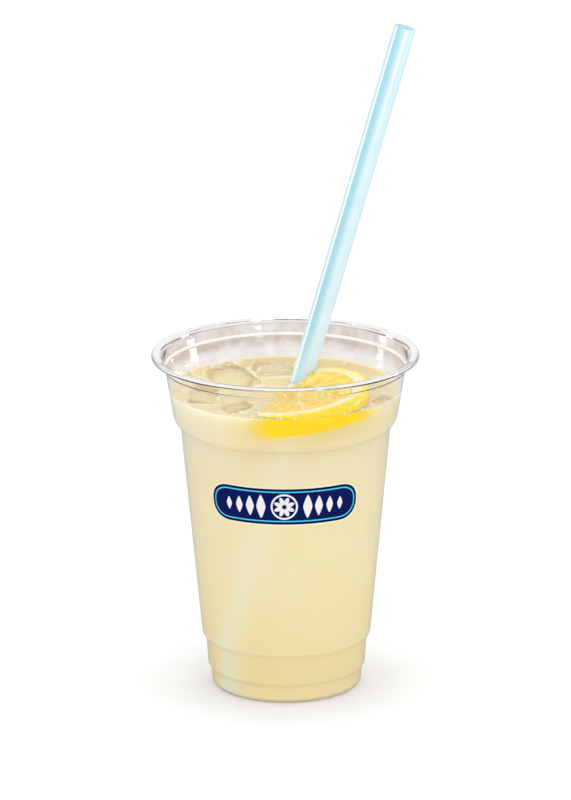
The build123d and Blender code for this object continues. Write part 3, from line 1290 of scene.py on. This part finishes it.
def drink_line(settings):
    """Half of the drink's outline, standing half way into the cup's wall, and across its surface."""
    sides = shifted(WALL_LINE, WALL * 0.5)
    below = [(corner, bend) for corner, bend in sides if corner[1] < DRINK_LEVEL]
    lower, upper = below[-1][0], sides[len(below)][0]
    share = (DRINK_LEVEL - lower[1]) / (upper[1] - lower[1])
    edge = lower[0] + (upper[0] - lower[0]) * share
    corners = [Vector(corner) for corner, bend in below] + [Vector((edge, DRINK_LEVEL))]
    runs = [b - a for a, b in zip(corners, corners[1:])]
    # How far each bend reaches along the runs on both sides of its corner.
    turns = [0.0] + [a.angle(b) for a, b in zip(runs, runs[1:])] + [0.0]
    reaches = [bend * math.tan(turn / 2) for (corner, bend), turn in zip(below + [(None, 0.0)], turns)]
    line = []
    for i, (corner, bend) in enumerate(below):
        line.append((corner, bend))
        length = runs[i].length
        if length < SHORTEST_DIVIDED:
            continue
        # Small faces let sunk things glow through.
        step = 0.5 if corner[1] > NEAR_SURFACE else 1.5
        start, end = reaches[i] + 0.1, length - reaches[i + 1] - 0.1
        pieces = max(1, round((end - start) / step))
        shares = [(start + (end - start) * k / pieces) / length for k in range(pieces + 1)]
        line += [(tuple(corners[i] + runs[i] * share), 0.0) for share in shares]
    return line + [((edge * (1 - i / settings.rings), DRINK_LEVEL), 0.0) for i in range(settings.rings + 1)]


# How fast a look from a little above goes down on its way in, and how far it reaches.
LOOK_SLOPE = 0.29
LOOK_REACH = 14 * MM


def glow_of_straw(place):
    """How clearly the straw shows at a place on the wall, seen from the front or the back."""
    faces_y = eased(abs(place.y) / math.hypot(place.x, place.y), 0.3, 0.65)
    # The straw leans sideways only, so its depth is the same at every height. Looked at from a little above,
    # it shows lower down than where the look goes in.
    depth = abs(place.y - STRAW_AT_LEVEL.y)
    straw_at = straw_axis(max(place.z - LOOK_SLOPE * depth, STRAW_END_HEIGHT))
    across = (place.x - straw_at.x - STREAK_OFF_AXIS) / STREAK_WIDTH
    return faces_y * min(2.0 * math.exp(-depth / STREAK_FADE), 0.95) * math.exp(-(across**2))


def sunk_straw_glow(place):
    """How clearly the sunk straw shows at a place on the surface, in front of where it goes in."""
    ahead = STRAW_AT_LEVEL.y - place.y
    across = place.x - STRAW_AT_LEVEL.x + 0.09 * ahead
    return (1.0 - eased(ahead, 4.0, 14.0)) * (1.0 - eased(abs(across), 3.4, 4.4)) * eased(ahead, 0.0, 0.5)


def seen_inwards(skin, place):
    """How clearly a sunk thing shows at a place on the wall, as seen from outside and a little above."""
    outward = Vector((place.x, place.y, 0.0)).normalized()
    sideways = Vector((-outward.y, outward.x, 0.0))
    total = 0.0
    looks = ((0.0, 0.0), (0.12, 0.0), (-0.12, 0.0), (0.0, 0.12), (0.0, -0.12))
    for turn, dip in looks:
        direction = (sideways * turn - outward + Vector((0.0, 0.0, dip - 0.03))).normalized()
        depth = skin.ray_cast(place, direction, LOOK_REACH)[3]
        if depth is not None:
            total += 1.0 - eased(depth / MM, 2.5, 6.5)
    return total / len(looks)


class OBJECT_OT_lemonade_drink(bpy.types.Operator):
    """Fills the cup with lemonade, hollowed where the ice lies"""

    bl_idname = "object.lemonade_drink"
    bl_label = "Lemonade"

    def execute(self, context):
        settings = context.scene.lemonade_drink
        material = cloudy_lemonade(settings)
        drink = turned(drink_line(settings), "drink_body", material, settings.turn_steps)
        self.raise_edges(drink.data)
        cutter = self.smaller(bpy.data.objects["ice_cubes"])
        hollow = drink.modifiers.new("hollows for the ice", "BOOLEAN")
        hollow.operation = "DIFFERENCE"
        hollow.solver = "MANIFOLD"
        hollow.object = cutter
        drink = plain_mesh(drink, "drink_body")
        bpy.data.objects.remove(cutter)
        self.mark(drink.data, settings.clearness)
        fitted(painted(drink, material), "drink", "drink")
        return {"FINISHED"}

    def smaller(self, ice):
        """A shallow copy of the ice, a hair inside it, so that the ice reaches into the drink."""
        copy = ice.data.copy()
        pushed(copy, lambda place: -HOLLOW_INSET)
        level = DRINK_LEVEL * MM
        for vertex in copy.vertices:
            if vertex.co.z < level:
                vertex.co.z = level + (vertex.co.z - level) * HOLLOW_SHARE
        return shown(copy, "ice_hollow")

    def raise_edges(self, mesh):
        """Lets the surface creep up the wall, the ice, the straw and the lemon, and ripple a little."""
        creeps = [(skin_of(name), height) for name, height in CREEP]
        on_surface = [v for v in mesh.vertices if v.co.z > (DRINK_LEVEL - 0.01) * MM]
        wall = max(math.hypot(v.co.x, v.co.y) for v in on_surface)
        for vertex in on_surface:
            place = vertex.co
            to_wall = (wall - math.hypot(place.x, place.y)) / MM
            lift = CREEP_AT_WALL * math.exp(-to_wall / CREEP_WIDTH_AT_WALL)
            for skin, height in creeps:
                distance = distance_to(skin, place, reach=4 * MM)
                lift += height * math.exp(-distance / MM / CREEP_WIDTH)
            lift += RIPPLE * noise.noise(place / MM * 0.12)
            vertex.co.z += min(lift, HIGHEST_CREEP) * MM

    def mark(self, mesh, clearness):
        """Stores for each point of the drink's skin where the surface's painted shade goes, the painted
        shade beside the ice, and how near each sunk thing is.
        """
        ice, lemon = skin_of("ice_cubes"), skin_of("lemon_wheel")
        wall = max(math.hypot(vertex.co.x, vertex.co.y) for vertex in mesh.vertices)
        names = ("surface", "ice_near", "straw_near", "lemon_near", "lemon_glow")
        marks = {name: [] for name in names}
        for vertex in mesh.vertices:
            place = vertex.co
            high = place.z > (DRINK_LEVEL - SURFACE_DEPTH) * MM
            radius = math.hypot(place.x, place.y)
            on_wall = not high and radius > FLOOR_RADIUS * MM
            near_lemon = (on_wall or radius > wall - 0.9 * MM) and place.z > LEMON_SHOWS_FROM * MM
            in_hollow = radius < wall - 2.2 * MM and place.z > (DRINK_LEVEL - HOLLOW_DEPTH) * MM
            faces_up = high and vertex.normal.z > FACING_UP
            # The surface's painted shade, and part of it in the hollows under the ice.
            marks["surface"].append(1.0 if faces_up else 0.6 if in_hollow else 0.0)
            # Painted shade beside the ice.
            to_ice = distance_to(ice, place, reach=10 * MM) if high or in_hollow else math.inf
            marks["ice_near"].append(ICE_SHADE * math.exp(-to_ice / (ICE_FADE * MM)))
            straw_glow = sunk_straw_glow if high else glow_of_straw
            marks["straw_near"].append(straw_glow(place / MM) if high or on_wall else 0.0)
            marks["lemon_near"].append(seen_inwards(lemon, place) if near_lemon else 0.0)
            to_lemon = distance_to(lemon, place, reach=30 * MM)
            marks["lemon_glow"].append(LEMON_GLOW * math.exp(-to_lemon / clearness))
        for name, values in marks.items():
            store(mesh, name, values)


class OBJECT_OT_lemonade_bubbles(bpy.types.Operator):
    """Scatters bubbles where the drink meets the wall, the ice and the lemon"""

    bl_idname = "object.lemonade_bubbles"
    bl_label = "Bubbles"

    def execute(self, context):
        material = bubble_film()
        bed = shown(bpy.data.objects["drink_body"].data.copy(), "bubble_bed")
        skins = skin_of("ice_cubes"), skin_of("lemon_wheel")
        amounts = []
        for vertex in bed.data.vertices:
            amount = 0.0
            if vertex.co.z > (DRINK_LEVEL - 0.2) * MM and vertex.normal.z > FACING_UP:
                amount = 0.02
                for skin in skins:
                    distance = distance_to(skin, vertex.co, reach=3 * MM)
                    if distance > 0.2 * MM:
                        amount = max(amount, math.exp(-distance / MM / BUBBLES_WIDTH))
            amounts.append(amount)
        store(bed.data, "bubbly", amounts)
        values = {
            "Density": 600000.0,
            "Smallest": 0.16 * MM,
            "Largest": 0.55 * MM,
            "Seed": 7,
            "Material": material,
        }
        apply_tree(bed, scatter_tree(), values)
        bubbles = plain_mesh(bed, "bubbles")
        fitted(painted(bubbles, material), "drink")
        return {"FINISHED"}


def printed_shapes(settings):
    """Each printed shape: its ink, half sizes, end length, roundness, turn, and place across and up."""
    width, height = settings.half_width, settings.half_height
    edge, line = settings.edge, settings.line_width
    for colour, inset in (("line_pale", -line), ("field", 0.0), ("line", edge), ("field", edge + line)):
        yield colour, width - inset, height - inset, 1.15 * height - inset, 2.3, 0.0, 0.0, 0.0
    wheel = 0.72 * height
    yield "motif", wheel, wheel, wheel, 2.0, 0.0, 0.0, 0.0
    yield "field", wheel * 0.86, wheel * 0.86, wheel * 0.86, 2.0, 0.0, 0.0, 0.0
    petals = 8
    for i in range(petals):
        turn = FULL_TURN * (i + 0.5) / petals
        across, up = 0.47 * wheel * math.cos(turn), 0.47 * wheel * math.sin(turn)
        petal = wheel * 0.32
        yield "motif", petal, wheel * 0.16, petal, 1.7, turn, across, up
    for i in range(4):
        size = (0.66 - 0.1 * i) * height
        half = 0.3 * size + 0.35 * MM
        for side in (-1, 1):
            yield "motif", half, size, half, 1.25, 0.0, side * (8.6 + 4.2 * i) * MM, 0.0


class OBJECT_OT_lemonade_print(bpy.types.Operator):
    """Prints the plain band with its citrus wheel and diamonds on the front of the cup"""

    bl_idname = "object.lemonade_print"
    bl_label = "Printed Band"

    def execute(self, context):
        settings = context.scene.lemonade_print
        inks = {
            "line_pale": ink("ink_pale", linear(248, 238, 205)),
            "field": ink("ink_field", tuple(settings.field) + (1.0,)),
            "line": ink("ink_line", tuple(settings.line) + (1.0,)),
            "motif": ink("ink_motif", linear(238, 235, 236)),
        }
        (low_radius, low), (high_radius, high) = PRINTED_RUN
        slope = (high_radius - low_radius) / (high - low)
        wall_radius = (low_radius - low * slope) * MM + settings.height * slope
        tree = print_tree()
        joined = bmesh.new()
        for layer, shape in enumerate(printed_shapes(settings)):
            colour, width, height, end, roundness, turn, across, up = shape
            base = shown(bpy.data.meshes.new("print_layer"), "print_layer")
            large = width > 10 * MM
            values = {
                "Half Width": width,
                "Half Height": height,
                "End Length": end,
                "Roundness": roundness,
                "Turn": turn,
                "Across": across + settings.across,
                "Up": up,
                "Height": settings.height,
                "Wall Radius": wall_radius + (0.04 + 0.02 * min(layer, 6)) * MM,
                "Wall Slope": slope,
                "Columns": 160 if large else 28,
                "Rows": 12 if large else 8,
                "Material": inks[colour],
            }
            apply_tree(base, tree, values)
            flat = plain_mesh(base, "print_layer")
            start = len(joined.faces)
            joined.from_mesh(flat.data)
            joined.faces.ensure_lookup_table()
            for face in joined.faces[start:]:
                face.material_index = list(inks).index(colour)
            bpy.data.objects.remove(flat)
        bmesh.ops.remove_doubles(joined, verts=joined.verts, dist=PRINT_GAP)
        mesh = bpy.data.meshes.new("printed_band")
        joined.to_mesh(mesh)
        joined.free()
        for material in inks.values():
            mesh.materials.append(material)
        mesh.shade_smooth()
        fitted(shown(mesh, "printed_band"), "cup")
        return {"FINISHED"}


def lamp(name, direction, distance, size, power, lights_surfaces):
    """Adds a soft lamp that doesn't show itself. Some only gleam on gloss and glass."""
    data = bpy.data.lights.new(name, "AREA")
    data.shape = "RECTANGLE"
    data.size, data.size_y = size
    data.energy = power
    piece = bpy.data.objects.new(name, data)
    toward = Vector(direction).normalized()
    piece.location = LAMPS_AIM + toward * distance
    piece.rotation_euler = toward.to_track_quat("Z", "Y").to_euler()
    piece.visible_camera = False
    piece.visible_diffuse = lights_surfaces
    bpy.context.scene.collection.objects.link(piece)


class OBJECT_OT_lemonade_stage(bpy.types.Operator):
    """Sets the floor, the soft lamps, the surrounding light and the camera"""

    bl_idname = "object.lemonade_stage"
    bl_label = "Stage"

    def execute(self, context):
        settings = context.scene.lemonade_stage
        mesh = bpy.data.meshes.new("floor")
        corners = [(x * FLOOR_HALF, y * FLOOR_HALF, 0) for x, y in ((-1, -1), (1, -1), (1, 1), (-1, 1))]
        mesh.from_pydata(corners, [], [(0, 1, 2, 3)])
        mesh.materials.append(pale_floor())
        shown(mesh, "floor")
        for name, values in LAMPS.items():
            lamp(name, *values)
        self.surround(context.scene, settings)
        self.camera(context.scene, settings)
        context.scene.view_settings.view_transform = "Standard"
        return {"FINISHED"}

    def surround(self, scene, settings):
        """White all round for what is seen, and a level soft light on the cup."""
        world = bpy.data.worlds.new("studio")
        scene.world = world
        world.use_nodes = True
        tree = world.node_tree
        tree.nodes.clear()
        path = put(tree, "ShaderNodeLightPath").outputs
        up = split(tree, put(tree, "ShaderNodeTexCoord").outputs["Generated"])["Z"]
        # Gloss sees a dimmer studio than glass does, brightest overhead.
        overhead = ramp(tree, up, 0.4, 0.9, 0.6, 0.75)
        seen = maths(tree, "MAXIMUM", path["Is Camera Ray"], path["Is Transmission Ray"])
        glossy = product(tree, path["Is Glossy Ray"], overhead)
        plain = product(tree, path["Is Diffuse Ray"], settings.ambient)
        strength = maths(tree, "MAXIMUM", maths(tree, "MAXIMUM", seen, glossy), plain)
        light = put(tree, "ShaderNodeBackground", {"Color": WHITE, "Strength": strength})
        put(tree, "ShaderNodeOutputWorld", {"Surface": light.outputs[0]})

    def camera(self, scene, settings):
        """The camera looks a little down on the cup from the front."""
        data = bpy.data.cameras.new("camera")
        data.lens = settings.lens
        camera = bpy.data.objects.new("camera", data)
        down = settings.look_down
        camera.location = (
            0.0,
            -settings.distance * math.cos(down),
            settings.aim_height + settings.distance * math.sin(down),
        )
        turn = Matrix.Rotation(math.pi / 2 - down, 4, "X") @ Matrix.Rotation(settings.roll, 4, "Z")
        camera.rotation_euler = turn.to_euler()
        scene.collection.objects.link(camera)
        scene.camera = camera


# ---- panel and registration ------------------------------------------------------------------------------

STEPS = (
    OBJECT_OT_lemonade_stage,
    OBJECT_OT_lemonade_cup,
    OBJECT_OT_lemonade_print,
    OBJECT_OT_lemonade_straw,
    OBJECT_OT_lemonade_lemon,
    OBJECT_OT_lemonade_ice,
    OBJECT_OT_lemonade_drink,
    OBJECT_OT_lemonade_bubbles,
)

SETTINGS = {
    "lemonade_cup": CupSettings,
    "lemonade_print": PrintSettings,
    "lemonade_drink": DrinkSettings,
    "lemonade_lemon": LemonSettings,
    "lemonade_straw": StrawSettings,
    "lemonade_stage": StageSettings,
}


class VIEW3D_PT_lemonade(bpy.types.Panel):
    """Lists the steps that build the cup of lemonade."""

    bl_label = "Iced Lemonade"
    bl_idname = "VIEW3D_PT_lemonade"
    bl_space_type = "VIEW_3D"
    bl_region_type = "UI"
    bl_category = "Lemonade"

    def draw(self, context):
        for step in STEPS:
            self.layout.operator(step.bl_idname)
        for name, group in SETTINGS.items():
            box = self.layout.box()
            for field in group.__annotations__:
                box.prop(getattr(context.scene, name), field)


def register():
    """Registers the settings, the operators and the panel."""
    for group in SETTINGS.values():
        bpy.utils.register_class(group)
    for name, group in SETTINGS.items():
        setattr(bpy.types.Scene, name, PointerProperty(type=group))
    for step in STEPS:
        bpy.utils.register_class(step)
    bpy.utils.register_class(VIEW3D_PT_lemonade)


def unregister():
    """Takes back what register did."""
    bpy.utils.unregister_class(VIEW3D_PT_lemonade)
    for step in reversed(STEPS):
        bpy.utils.unregister_class(step)
    for name, group in SETTINGS.items():
        delattr(bpy.types.Scene, name)
        bpy.utils.unregister_class(group)


def main():
    """Builds every piece in order."""
    register()
    for step in STEPS:
        area, call = step.bl_idname.split(".")
        getattr(getattr(bpy.ops, area), call)()


if __name__ == "__main__":
    main()
